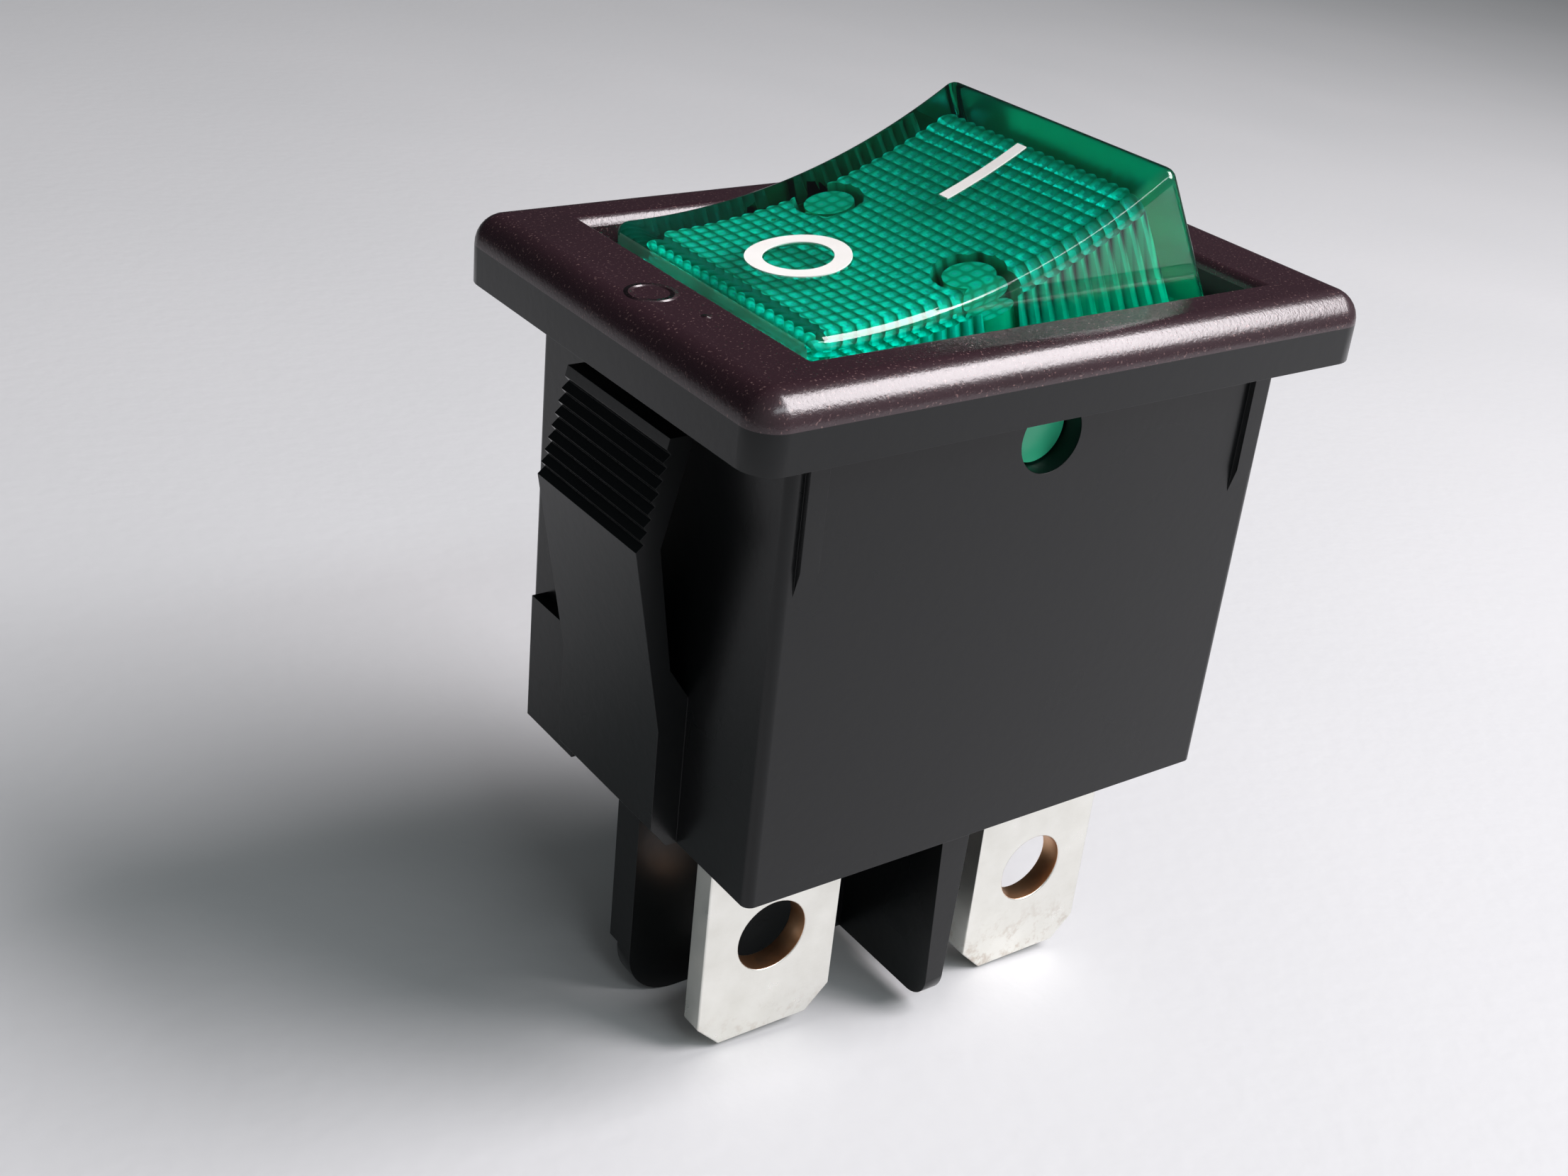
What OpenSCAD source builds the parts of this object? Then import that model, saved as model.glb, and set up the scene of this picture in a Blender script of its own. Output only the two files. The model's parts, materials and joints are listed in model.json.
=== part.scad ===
// Panel rocker switch, two poles, lit, snap-in body with blade terminals.
// The origin is the centre of the bezel's underside, which is the panel's face.
// +X runs along the switch to the end marked I, -Y is the front, +Z is up.
// The switch is drawn switched off, so the end marked I stands up.

/* [Bezel] */
// length of the bezel
bezel_l = 21; // [18:0.1:26]
// width of the bezel
bezel_w = 15; // [13.5:0.1:19]
// height of the bezel above the panel
bezel_t = 2; // [1.4:0.1:3]
// radius of the bezel's top edges and corners
bezel_r = 0.9; // [0.3:0.1:1.2]
// how much wider the opening is than the room inside, on each side
opening_step = 0.35; // [0:0.05:0.5]
// depth of the wide part of the opening
opening_d = 1.2; // [0.6:0.1:1.8]
// radius of the opening's top edges
opening_r = 0.45; // [0.1:0.05:0.6]

/* [Body] */
// length of the body below the panel
body_l = 17.1; // [16.8:0.1:18]
// width of the body below the panel
body_w = 12.5; // [11.6:0.1:12.8]
// depth of the body below the panel
body_d = 13.8; // [12.8:0.1:18]
// radius of the body's upright edges
body_r = 0.3; // [0.1:0.1:0.8]
// thickness of the end walls
end_wall = 0.85; // [0.7:0.05:1.1]
// thickness of the long walls
side_wall = 1.1; // [0.8:0.05:1.3]
// thickness of the floor
floor_t = 1; // [0.6:0.1:1.4]
// thickness of the wall between the poles
divider_t = 0.8; // [0.5:0.1:1.2]
// height of the wall between the poles above the floor
divider_h = 8; // [4:0.1:8.6]
// thickness of each stop rib for the rocker
stop_t = 0.9; // [0.5:0.1:1.2]
// length of each stop rib from the end wall
stop_l = 1.2; // [1:0.1:1.3]

/* [Snap arms] */
// width of each snap arm
arm_w = 5.3; // [4:0.1:6]
// thickness of each snap arm
arm_t = 0.75; // [0.5:0.05:1]
// distance from the panel to the top of the arm
arm_top = 1; // [0.6:0.1:1.4]
// how far the arm's top stands off the body's end
top_off = 1.2; // [1:0.05:1.4]
// how far the arm's crest stands off the body's end
crest_off = 2; // [1.6:0.05:2.3]
// depth of the crest below the panel
arm_crest = 4.1; // [3.6:0.1:5]
// depth where the slanted face meets the root
arm_bend = 9.85; // [8.6:0.05:10.6]
// how far the arm's root stands off the body's end
root_off = 0.9; // [0.6:0.05:1.1]
// number of teeth between the top and the crest
teeth = 8; // [5:1:10]
// depth of a tooth
tooth_d = 0.17; // [0.05:0.01:0.25]
// width of the slot in the end wall behind the arm
slot_w = 4.9; // [3.6:0.1:5.6]
// depth of the slot in the end wall
slot_d = 0.3; // [0.1:0.05:0.45]

/* [Crush ribs and pads] */
// distance of each crush rib from the body's end
rib_in = 0.75; // [0.6:0.05:1.5]
// width of a crush rib
rib_w = 0.6; // [0.3:0.1:0.8]
// how far a crush rib stands out of the wall
rib_out = 0.2; // [0.1:0.05:0.3]
// length of a crush rib
rib_l = 3.9; // [2.5:0.1:5]
// how far the pad at the rear of each end stands out
pad_out = 0.5; // [0.2:0.05:0.8]
// depth of the pad's top below the panel
pad_top = 9.6; // [8.6:0.1:11]

/* [Barriers under the body] */
// thickness of the barriers where they leave the body
fin_t = 1.2; // [0.9:0.1:1.6]
// thickness of the cross barrier's lower edge
fin_tip = 0.6; // [0.4:0.1:0.9]
// width of the cross barrier between the terminal pairs
fin_w = 10.2; // [9:0.1:11]
// how far the barriers reach below the body
fin_d = 7.3; // [5:0.1:7.8]
// corner radius of the cross barrier
fin_r = 0.9; // [0.3:0.1:1.2]
// corner radius of the long barrier's outer end
wall_r = 1.7; // [0.5:0.1:2.5]
// how far the long barrier's rear face steps in along its lower edge
step_in = 0.45; // [0.2:0.05:0.7]
// height of that step
step_h = 1.8; // [0.8:0.1:3]

/* [Rocker] */
// tilt of the rocker each way
tilt = 16; // [13:0.5:18]
// radius of the pivot holes in the long walls
pivot_r = 1.05; // [0.8:0.01:1.2]
// wall left between the pivot holes and the panel's face
pivot_cover = 0.1; // [0.05:0.05:0.5]
// how far the stubs end inside the body's outer faces
stub_inset = 0.65; // [0.3:0.05:0.9]
// gap left between the rocker's ends and the opening when it is tilted
end_gap = 0.45; // [0.2:0.05:0.8]
// gap left between the rocker's top and each side of the opening
side_gap = 0.6; // [0.5:0.05:0.8]
// gap left between the rocker and each long wall at the pivot
base_gap = 0.1; // [0.06:0.02:0.2]
// height of the top corners above the pivot
rocker_top = 5.18; // [4.8:0.01:5.8]
// depth of the hollow in the rocker's top
dish = 0.91; // [0.5:0.01:1.2]
// slope of the end faces in degrees
end_slope = 12; // [6:0.5:14]
// radius of the rounded top edges
rocker_r = 0.35; // [0.1:0.05:0.6]
// thickness of the rocker's end walls
end_t = 1.1; // [0.7:0.1:1.4]
// thickness of the rocker's side walls and top
shell_t = 0.95; // [0.7:0.05:1.1]
// radius of the lugs round the pivot stubs
lug_r = 1.7; // [1.5:0.1:2]

/* [Marks] */
// distance of each mark from mid length
mark_x = 3.2; // [2.6:0.1:3.6]
// outer radius of the ring for off
ring_r = 1.45; // [1:0.05:1.8]
// width of the ring's line
line_w = 0.48; // [0.3:0.02:0.6]
// width of the bar for on
bar_mark_w = 0.38; // [0.3:0.02:0.6]
// length of the bar for on
bar_mark_l = 2.9; // [2:0.1:3.4]
// depth of the marks in the top
mark_d = 0.2; // [0.1:0.05:0.4]
// how far the marks stand out of the top
mark_up = 0.03; // [0.01:0.01:0.05]

/* [Terminals] */
// distance from the body's end to the outer edge of the front load blade
front_load_in = 0.55; // [0.5:0.05:1.6]
// distance from the body's end to the outer edge of the front line blade
front_line_in = 1.35; // [0.5:0.05:1.6]
// distance from the body's ends to the outer edges of the rear blades
rear_in = 2.25; // [1.4:0.05:2.4]
// distance of the terminals from the centre across the switch
term_y = 3.4; // [3.3:0.05:3.5]
// width of a terminal blade
tab_w = 4.8; // [4.7:0.05:4.85]
// thickness of a terminal blade
tab_t = 0.8; // [0.6:0.05:0.85]
// depth of the line blades' tips below the panel
line_tip = 21.9; // [20:0.05:23]
// depth of the load blades' tips below the panel
load_tip = 20.9; // [19.6:0.05:23]
// chamfer of the blade tips
tab_c = 0.8; // [0.4:0.1:1.2]
// radius of the hole in each blade
hole_r = 1.2; // [0.8:0.05:1.25]
// distance of the hole's centre from the blade tip
hole_up = 3.5; // [2.8:0.1:4]
// width of the neck inside the body
neck_w = 2.4; // [1.6:0.1:2.6]

/* [Contacts] */
// thickness of the moving contact bars
bar_t = 0.4; // [0.25:0.05:0.5]
// width of the moving contact bars
bar_w = 2.2; // [2.1:0.05:2.3]
// length of the wing that carries the contact
wing_l = 5.6; // [5.5:0.1:5.8]
// gap left between the end wall and the other wing, which balances the contact
tail_gap = 0.7; // [0.4:0.05:1.5]
// rise of each wing in degrees
wing_rise = 8; // [7:0.5:10]
// tilt of a bar each way in degrees
bar_tilt = 5; // [4:0.5:6]
// distance from the end wall's inner face to the contacts
contact_in = 2.8; // [2.6:0.05:3.2]
// radius of the contact faces
contact_r = 1; // [0.7:0.05:1.05]
// thickness of a contact
contact_t = 0.4; // [0.2:0.05:0.5]
// radius of the rivet shanks
shank_r = 0.5; // [0.3:0.05:0.6]

/* [Plungers and springs] */
// distance of the plungers from the centre across the switch
post_y = 3.2; // [3.1:0.05:3.25]
// outer radius of the posts that hold the plungers
post_r = 1.05; // [1:0.01:1.08]
// radius of the bore in each post
bore_r = 0.75; // [0.6:0.01:0.8]
// running clearance of a plunger in its post
plunger_fit = 0.05; // [0.02:0.01:0.1]
// distance from the pivot to the plunger tips
tip_l = 6.2; // [5.6:0.1:6.6]
// length of the posts below the pivot
post_down = 2.2; // [1.8:0.1:2.8]
// length of a plunger's shaft from its shoulder to its tip
plunger_l = 6.6; // [6.2:0.1:6.8]
// radius of the spigot inside the spring
spigot_r = 0.3; // [0.2:0.01:0.34]
// wire radius of the springs
wire_r = 0.09; // [0.06:0.01:0.12]
// number of turns of a spring
turns = 6; // [5:1:8]

/* [Lamp] */
// radius of the lamp's glass
lamp_r = 1.45; // [1.2:0.05:1.55]
// length of the lamp's glass
lamp_l = 7.6; // [6:0.1:8]
// height of the lamp's axis above the pivot
lamp_z = 1.6; // [1.4:0.1:1.7]
// radius of the lamp's electrodes
rod_r = 0.22; // [0.15:0.01:0.3]
// radius of the lamp's lead wires
lead_r = 0.15; // [0.1:0.01:0.18]
// length of the resistor's body
res_l = 2.1; // [1.6:0.1:2.3]
// radius of the resistor's body
res_r = 0.5; // [0.35:0.05:0.55]

/* [Hidden] */
$fn = 48;
e = 0.01;
// clearance of the terminals in the floor, and of the bar over its seat
fit = 0.02;
seat_gap = 0.03;
// clearance of the stubs in the pivot holes
pivot_fit = 0.06;
// height of the plunger tips over the bars when the rocker is level
tip_gap = 0.12;
floor_z = floor_t - body_d;
opening_l = body_l - 2 * end_wall;
cavity_w = body_w - 2 * side_wall;
opening_w = cavity_w + 2 * opening_step;
// longer than anything that is cut across the switch
wide = bezel_w + 1;
// distances of the snap arm's faces and of the crush ribs from the centre
arm_in = body_l / 2 + top_off;
arm_out = body_l / 2 + crest_off;
root_out = body_l / 2 + root_off;
rib_x = body_l / 2 - rib_in;
// how far the parts that join the body start inside it
seat_in = 0.2;
// middle of each stop rib, half way between the wall between the poles and the bars
stop_y = (divider_t / 2 + post_y - bar_w / 2) / 2;
// depth of the pivot below the panel, and the span of the stubs
pivot_d = pivot_r + pivot_cover;
stub_span = body_w - 2 * stub_inset;
// length across the rocker's top corners, and its widths at the top and at the pivot
rocker_l = 2 * (opening_l / 2 - end_gap - rocker_top * sin(tilt)) / cos(tilt);
rocker_w = opening_w - 2 * side_gap;
rocker_base_w = cavity_w - 2 * base_gap;
// height of the top above the pivot at mid length
rocker_mid = rocker_top - dish;
// radius of the swept top and the height of its centre above the pivot
top_r = (rocker_l * rocker_l / 4 + dish * dish) / (2 * dish);
top_c = rocker_mid + top_r;
half_top = rocker_l / 2;
half_base = half_top + rocker_top * tan(end_slope);
// gap left where the rocker meets its stops and where the contacts meet
meet_gap = 0.04;
stop_z = -pivot_d - half_base * sin(tilt) - meet_gap;
// distances of the blades' middle lines from the centre along the switch
function load_x(s) = body_l / 2 - tab_w / 2 - (s < 0 ? front_load_in : rear_in);
function line_x(s) = body_l / 2 - tab_w / 2 - (s < 0 ? front_line_in : rear_in);
// distance from a bar's crease to its contact, and length of its other wing
contact_x = opening_l / 2 - contact_in;
tail_l = opening_l / 2 - tail_gap;
// each bar's seat, the prong that holds the bar on it, and the beam under it
seat_w = 1.8;
seat_h = 1.1;
beam_t = 1;
prong_w = 0.7;
prong_fit = 0.08;
// height of the crease under each bar
crease = -pivot_d - tip_l - tip_gap - bar_t / cos(wing_rise);
// top of the fixed contacts, just clear of the moving ones when they meet
rest_rise = wing_rise - bar_tilt;
meet_z = crease + (contact_x - contact_r) * sin(rest_rise) - contact_t * cos(rest_rise) - meet_gap;
flap_z = meet_z - contact_t;
flap_x = contact_x * cos(rest_rise);
flap_rim = 0.15;
// heads of the moving contacts' rivets
head_w = 0.25;
head_t = 0.15;
// bore of a post, and the spring in it with the lead across its end
bore_top = 3;
spring_z0 = plunger_l - tip_l;
spring_z1 = bore_top - 0.5;
lead_z = spring_z1 + 0.05 + lead_r;
coil_r = (bore_r - 0.04 - wire_r);
// lamp: its wall, its seal, its electrodes and the bends of its leads
glass_t = 0.25;
seal_l = 0.9;
seal_in = 0.3;
rod_y = 0.45;
lead_out = 0.6;
lead_past = 0.3;
lamp_x0 = -lamp_l / 2;
lead_x = lamp_x0 - lead_out;
res_x = lead_x + 0.5;
cap_l = 0.45;
cap_up = 0.07;

// one node to draw, or all of them

BLACK = [0.07, 0.065, 0.07];
GREEN = [0.0, 0.5, 0.33, 0.85];
WHITE = [0.93, 0.92, 0.9];
TIN = [0.8, 0.8, 0.77];
COPPER = [0.78, 0.5, 0.34];
SILVER = [0.86, 0.85, 0.83];
BEIGE = [0.85, 0.78, 0.62];
STEEL = [0.62, 0.63, 0.65];

module from_rocker() {
    translate([0, 0, -pivot_d]) rotate([0, -tilt, 0]) children();
}

// a plate seen from the front, drawn in x and z, centred on y
module slab(y, t) {
    translate([0, y + t / 2, 0]) rotate([90, 0, 0]) linear_extrude(t) children();
}

module box(x0, x1, y0, y1, z0, z1) {
    translate([x0, y0, z0]) cube([x1 - x0, y1 - y0, z1 - z0]);
}

module round_rect(l, w, r) {
    square([l - 2 * r, w], center = true);
    square([l, w - 2 * r], center = true);
    for (x = [-1, 1]) {
        for (y = [-1, 1]) {
            translate([x * (l / 2 - r), y * (w / 2 - r)]) circle(r);
        }
    }
}

// ---- housing: bezel, body, snap arms and barriers are one moulding ----

module bezel() {
    xr = bezel_l / 2 - bezel_r;
    yr = bezel_w / 2 - bezel_r;
    zr = bezel_t - bezel_r;
    linear_extrude(zr) round_rect(bezel_l, bezel_w, bezel_r);
    box(-xr, xr, -yr, yr, 0, bezel_t);
    for (s = [-1, 1]) {
        translate([-xr, s * yr, zr]) rotate([0, 90, 0]) cylinder(r = bezel_r, h = 2 * xr);
        translate([s * xr, yr, zr]) rotate([90, 0, 0]) cylinder(r = bezel_r, h = 2 * yr);
        for (k = [-1, 1]) {
            translate([s * xr, k * yr, zr]) sphere(bezel_r);
        }
    }
}

// outline of the right arm in x and z; the root block runs to the floor
function arm_pt(t) = [arm_in + (arm_out - arm_in) * t, -arm_top - (arm_crest - arm_top) * t];
plain = 0.1;
step_t = (1 - plain) / teeth;
arm_teeth = [for (i = [0 : teeth - 1])
    for (k = [0, 1])
        k == 0 ? arm_pt(plain + i * step_t)
            : arm_pt(plain + (i + 0.45) * step_t) - [tooth_d, 0]];
arm_line = concat(
    [[arm_in - arm_t, -arm_top], [arm_in, -arm_top]],
    arm_teeth,
    [[arm_out, -arm_crest], [root_out, -arm_bend],
     [root_out, -body_d + 0.7], [root_out - 0.55, -body_d],
     [body_l / 2 - seat_in, -body_d], [body_l / 2 - seat_in, -arm_bend + 0.6],
     [body_l / 2, -arm_bend + 0.9], [root_out - 0.25, -arm_bend + 1.9],
     [arm_out - arm_t, -arm_crest - 0.05]]);

module arm() {
    slab(0, arm_w) polygon(arm_line);
}

module barriers() {
    zb = -body_d - fin_d;
    // across, between the terminal pairs, thinner towards its lower edge
    intersection() {
        translate([-fin_t, 0, 0]) rotate([90, 0, 90]) linear_extrude(2 * fin_t) {
            translate([-fin_w / 2, zb + fin_r]) square([fin_w, fin_d - fin_r + e]);
            translate([-fin_w / 2 + fin_r, zb]) square([fin_w - 2 * fin_r, fin_r + e]);
            for (s = [-1, 1]) {
                translate([s * (fin_w / 2 - fin_r), zb + fin_r]) circle(fin_r);
            }
        }
        slab(0, wide) polygon([[-fin_t / 2, floor_z], [fin_t / 2, floor_z],
            [fin_tip / 2, zb], [-fin_tip / 2, zb]]);
    }
    // along, between the poles, on the load side only
    x0 = -body_l / 2 + 0.05;
    difference() {
        slab(0, fin_t) {
            translate([x0, zb + wall_r]) square([-x0, fin_d - wall_r + e]);
            translate([x0 + wall_r, zb]) square([-x0 - wall_r, wall_r + e]);
            translate([x0 + wall_r, zb + wall_r]) circle(wall_r);
        }
        box(x0 - 1, 1, fin_t / 2 - step_in, fin_t, zb - 1, zb + step_h);
    }
}

module crush_rib(x, s) {
    y = body_w / 2 - e;
    translate([x - rib_w / 2, s > 0 ? y : -y - rib_out, -rib_l + 0.5])
        cube([rib_w, rib_out, rib_l - 0.5 + e]);
    // tapered lower end
    translate([x - rib_w / 2, 0, 0]) rotate([90, 0, 90]) linear_extrude(rib_w)
        polygon([[s * y, -rib_l - 0.3], [s * (y + rib_out), -rib_l + 0.5], [s * y, -rib_l + 0.5]]);
}

module blade_slot(x, y) {
    box(x - tab_w / 2 - fit, x + tab_w / 2 + fit,
        y - tab_t / 2 - fit, y + tab_t / 2 + fit, -body_d - 1, floor_z + fit);
}

// seen along two opposite edges of the opening: what is cut away to round them
module rim_profile(half) {
    x = half + opening_r - fit;
    z = bezel_t - opening_r + fit;
    difference() {
        translate([-x, z]) square([2 * x, 1]);
        for (s = [-1, 1]) {
            translate([s * x, z]) circle(opening_r);
        }
    }
}

module opening_rim() {
    intersection() {
        slab(0, wide) rim_profile(opening_l / 2);
        rotate([0, 0, 90]) slab(0, bezel_l) rim_profile(opening_w / 2);
    }
}

module housing() {
    color(BLACK) {
        difference() {
            union() {
                bezel();
                translate([0, 0, -body_d]) linear_extrude(body_d + e) round_rect(body_l, body_w, body_r);
                for (s = [-1, 1]) {
                    for (x = [-rib_x, rib_x]) {
                        crush_rib(x, s);
                    }
                    x1 = body_l / 2 + pad_out;
                    x0 = body_l / 2 - seat_in;
                    box(s > 0 ? x0 : -x1, s > 0 ? x1 : -x0,
                        arm_w / 2 - 0.1, body_w / 2 - 0.9, -body_d, -pad_top);
                }
            }
            // opening in the bezel and the room for the rocker
            box(-opening_l / 2, opening_l / 2, -opening_w / 2, opening_w / 2,
                bezel_t - opening_d, bezel_t + 1);
            box(-opening_l / 2, opening_l / 2, -cavity_w / 2, cavity_w / 2, floor_z, bezel_t);
            opening_rim();
            // pivot holes through both long walls
            translate([0, body_w / 2 + 1, -pivot_d]) rotate([90, 0, 0]) cylinder(r = pivot_r, h = body_w + 2);
            // slots behind the arms
            for (s = [-1, 1]) {
                x = s * (body_l / 2 + 1 - slot_d / 2);
                box(x - 1 - slot_d / 2, x + 1 - slot_d / 2 + (s > 0 ? slot_d : 0),
                    -slot_w / 2, slot_w / 2, -arm_bend + 0.9, -e);
            }
            for (s = [-1, 1]) {
                blade_slot(-load_x(s), s * term_y);
                blade_slot(line_x(s), s * term_y);
            }
        }
        arm();
        mirror([1, 0, 0]) arm();
        barriers();
        // wall between the poles and the stop ribs
        box(-opening_l / 2 - e, opening_l / 2 + e, -divider_t / 2, divider_t / 2, floor_z - e, floor_z + divider_h);
        for (s = [-1, 1]) {
            for (y = [-1, 1]) {
                x0 = s > 0 ? opening_l / 2 - stop_l : -opening_l / 2 - e;
                box(x0, x0 + stop_l + e, y * stop_y - stop_t / 2, y * stop_y + stop_t / 2,
                    floor_z - e, stop_z);
            }
        }
    }
}

// ---- rocker: drawn level, with the pivot at the origin ----

// half width of the rocker at a height above the pivot
function half_w(z) = rocker_base_w / 2 + (rocker_w - rocker_base_w) / 2 * z / rocker_mid;

// the width swept under the hollow top, inset by t, its long edges rounded by r
module sweep_body(t, down, r) {
    r0 = top_r + t;
    r1 = top_c + down;
    w0 = half_w(rocker_mid) - t;
    w1 = half_w(-down) - t;
    translate([0, 0, top_c]) rotate([90, 0, 0]) rotate_extrude($fn = 180) {
        polygon([[r0 + r, -w0], [r1, -w1], [r1, w1], [r0 + r, w0]]);
        if (r > 0) {
            polygon([[r0, -w0 + r], [r0 + r + e, -w0 + r], [r0 + r + e, w0 - r], [r0, w0 - r]]);
            for (s = [-1, 1]) {
                translate([r0 + r, s * (w0 - r)]) circle(r);
            }
        }
    }
}

// end profile in x and z, inset by t
module side_shape(t, z0) {
    hb = half_base - t / cos(end_slope);
    n = tan(end_slope);
    z1 = 2 * rocker_mid;
    polygon([[-hb + z0 * n, z0], [hb - z0 * n, z0], [hb - z1 * n, z1], [-hb + z1 * n, z1]]);
}

// the corner's centre lies rocker_r inside the end face and under the top's arc
arc_r = top_r + rocker_r;
function corner_z(x) = top_c - sqrt(arc_r * arc_r - x * x);
function corner_x(k, x) = k == 0 ? x
    : corner_x(k - 1, half_base - rocker_r / cos(end_slope) - corner_z(x) * tan(end_slope));
cx = corner_x(8, half_top - rocker_r);
cz = corner_z(cx);

// what is cut away to round a top corner
module corner_cut() {
    a1 = end_slope + 3;
    a2 = atan2(top_c - cz, -cx) - 3;
    am = (a1 + a2) / 2;
    translate([cx, cz]) difference() {
        polygon([[0, 0], 6 * rocker_r * [cos(a1), sin(a1)], 9 * rocker_r * [cos(am), sin(am)],
            6 * rocker_r * [cos(a2), sin(a2)]]);
        circle(rocker_r);
    }
}

module top_skin(r0, r1) {
    translate([0, wide / 2, top_c]) rotate([90, 0, 0]) difference() {
        cylinder(r = top_r + r1, h = wide, $fn = 360);
        translate([0, 0, -1]) cylinder(r = top_r + r0, h = wide + 2, $fn = 360);
    }
}

module ring_tube() {
    translate([-mark_x, 0, rocker_mid / 2]) difference() {
        cylinder(r = ring_r, h = rocker_top);
        translate([0, 0, -1]) cylinder(r = ring_r - line_w, h = rocker_top + 2);
    }
}

module bar_tube() {
    box(mark_x - bar_mark_l / 2, mark_x + bar_mark_l / 2, -bar_mark_w / 2, bar_mark_w / 2,
        rocker_mid / 2, 2 * rocker_mid);
}

module rocker_shell() {
    difference() {
        intersection() {
            slab(0, wide) side_shape(0, 0);
            sweep_body(0, 1, rocker_r);
        }
        slab(0, wide) corner_cut();
        mirror([1, 0, 0]) slab(0, wide) corner_cut();
        intersection() {
            slab(0, wide) side_shape(end_t, -1);
            sweep_body(shell_t, 1.5, 0);
        }
        intersection() {
            union() {
                ring_tube();
                bar_tube();
            }
            top_skin(-1, mark_d);
        }
    }
}

module rocker() {
    color(GREEN) from_rocker() difference() {
        union() {
            rocker_shell();
            for (s = [-1, 1]) {
                y0 = half_w(0) - shell_t;
                // lug round the stub, and the stub
                translate([0, s > 0 ? y0 : -y0, 0]) rotate([-90 * s, 0, 0]) {
                    cylinder(r = lug_r, h = half_w(0) - y0);
                    cylinder(r = pivot_r - pivot_fit, h = stub_span / 2 - y0);
                }
                translate([0, s * post_y, -post_down])
                    cylinder(r = post_r, h = post_down + rocker_mid - shell_t / 2);
            }
        }
        for (s = [-1, 1]) {
            translate([0, s * post_y, -post_down - 1]) cylinder(r = bore_r, h = post_down + 1 + bore_top);
            // hole for the lead wire to the spring
            translate([-post_r - 0.25, s * post_y, lead_z]) rotate([0, 90, 0])
                cylinder(r = lead_r, h = post_r + 0.25);
        }
    }
}

module off_mark() {
    color(WHITE) from_rocker() intersection() {
        ring_tube();
        top_skin(-mark_up, mark_d);
    }
}

module on_mark() {
    color(WHITE) from_rocker() intersection() {
        bar_tube();
        top_skin(-mark_up, mark_d);
    }
}

// ---- terminals ----

module tab_shape(x, tip) {
    difference() {
        polygon([[x - tab_w / 2, floor_z], [x - tab_w / 2, -tip + tab_c],
            [x - tab_w / 2 + tab_c, -tip], [x + tab_w / 2 - tab_c, -tip],
            [x + tab_w / 2, -tip + tab_c], [x + tab_w / 2, floor_z]]);
        translate([x, -tip + hole_up]) circle(hole_r);
    }
}

// the pole's common terminal carries the bar's seat
module line_terminal(s) {
    x = line_x(s);
    color(TIN) slab(s * term_y, tab_t) {
        tab_shape(x, line_tip);
        translate([x - neck_w / 2, floor_z - e]) square([neck_w, crease - seat_h - floor_z + e]);
        translate([-seat_w / 2, crease - seat_h - beam_t]) square([x + (neck_w + seat_w) / 2, beam_t]);
        translate([-seat_w / 2, crease - seat_h - e]) square([seat_w, seat_h + e - seat_gap]);
        translate([-prong_w / 2, crease - seat_h]) square([prong_w, seat_h + bar_t * 0.75]);
    }
}

module load_terminal(s) {
    yf = s * (post_y - contact_r - flap_rim);
    yb = s * (term_y + tab_t / 2);
    color(TIN) {
        slab(s * term_y, tab_t) {
            tab_shape(-load_x(s), load_tip);
            translate([-flap_x - neck_w / 2, floor_z - e]) square([neck_w, flap_z - floor_z + e]);
        }
        // flap bent over to carry the fixed contact
        difference() {
            box(-flap_x - neck_w / 2, -flap_x + neck_w / 2, min(yf, yb), max(yf, yb), flap_z - tab_t, flap_z);
            translate([-flap_x, s * post_y, flap_z - tab_t - 1]) cylinder(r = shank_r, h = tab_t + 2);
        }
    }
}

// the shank's hole runs on into the blade, so it is cut from the whole terminal
module load_terminal_cut(s) {
    difference() {
        load_terminal(s);
        translate([-flap_x, s * post_y, flap_z - tab_t - 0.25]) cylinder(r = shank_r, h = tab_t + 1);
    }
}

module fixed_contact(s) {
    color(SILVER) translate([-flap_x, s * post_y, flap_z]) {
        cylinder(r = contact_r, h = contact_t);
        translate([0, 0, -tab_t - 0.25]) cylinder(r = shank_r, h = tab_t + 0.26);
    }
}

// ---- moving contact bars: drawn level, with the crease at the origin ----

module from_bar(s) {
    translate([0, s * post_y, crease]) rotate([0, bar_tilt, 0]) children();
}

module contact_bar(s) {
    c = cos(wing_rise);
    n = sin(wing_rise);
    dy = s * (term_y - post_y);
    color(COPPER) from_bar(s) difference() {
        slab(0, bar_w) polygon([[0, 0], [tail_l * c, tail_l * n],
            [tail_l * c - bar_t * n, tail_l * n + bar_t * c], [0, bar_t / c],
            [-wing_l * c + bar_t * n, wing_l * n + bar_t * c], [-wing_l * c, wing_l * n]]);
        // slot over the seat's prong
        box(-prong_w / 2 - 2 * prong_fit, prong_w / 2 + 2 * prong_fit,
            dy - tab_t / 2 - prong_fit, dy + tab_t / 2 + prong_fit, -bar_t, 3 * bar_t);
        rotate([0, wing_rise, 0]) translate([-contact_x, 0, -1]) cylinder(r = shank_r, h = 2);
    }
}

module moving_contact(s) {
    color(SILVER) from_bar(s) rotate([0, wing_rise, 0]) translate([-contact_x, 0, 0]) {
        translate([0, 0, -contact_t]) cylinder(r = contact_r, h = contact_t);
        cylinder(r = shank_r, h = bar_t + e);
        translate([0, 0, bar_t]) cylinder(r = shank_r + head_w, h = head_t);
    }
}

// ---- plungers and springs ----

module plunger(s) {
    r = bore_r - plunger_fit;
    color(STEEL) from_rocker() translate([0, s * post_y, 0]) {
        translate([0, 0, -tip_l + r]) sphere(r);
        translate([0, 0, -tip_l + r]) cylinder(r = r, h = plunger_l - r);
        translate([0, 0, spring_z0 - e]) cylinder(r = spigot_r, h = 0.6);
    }
}

function coil_z(i, n) = spring_z0 + wire_r + (spring_z1 - spring_z0 - 2 * wire_r) * i / n;

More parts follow.
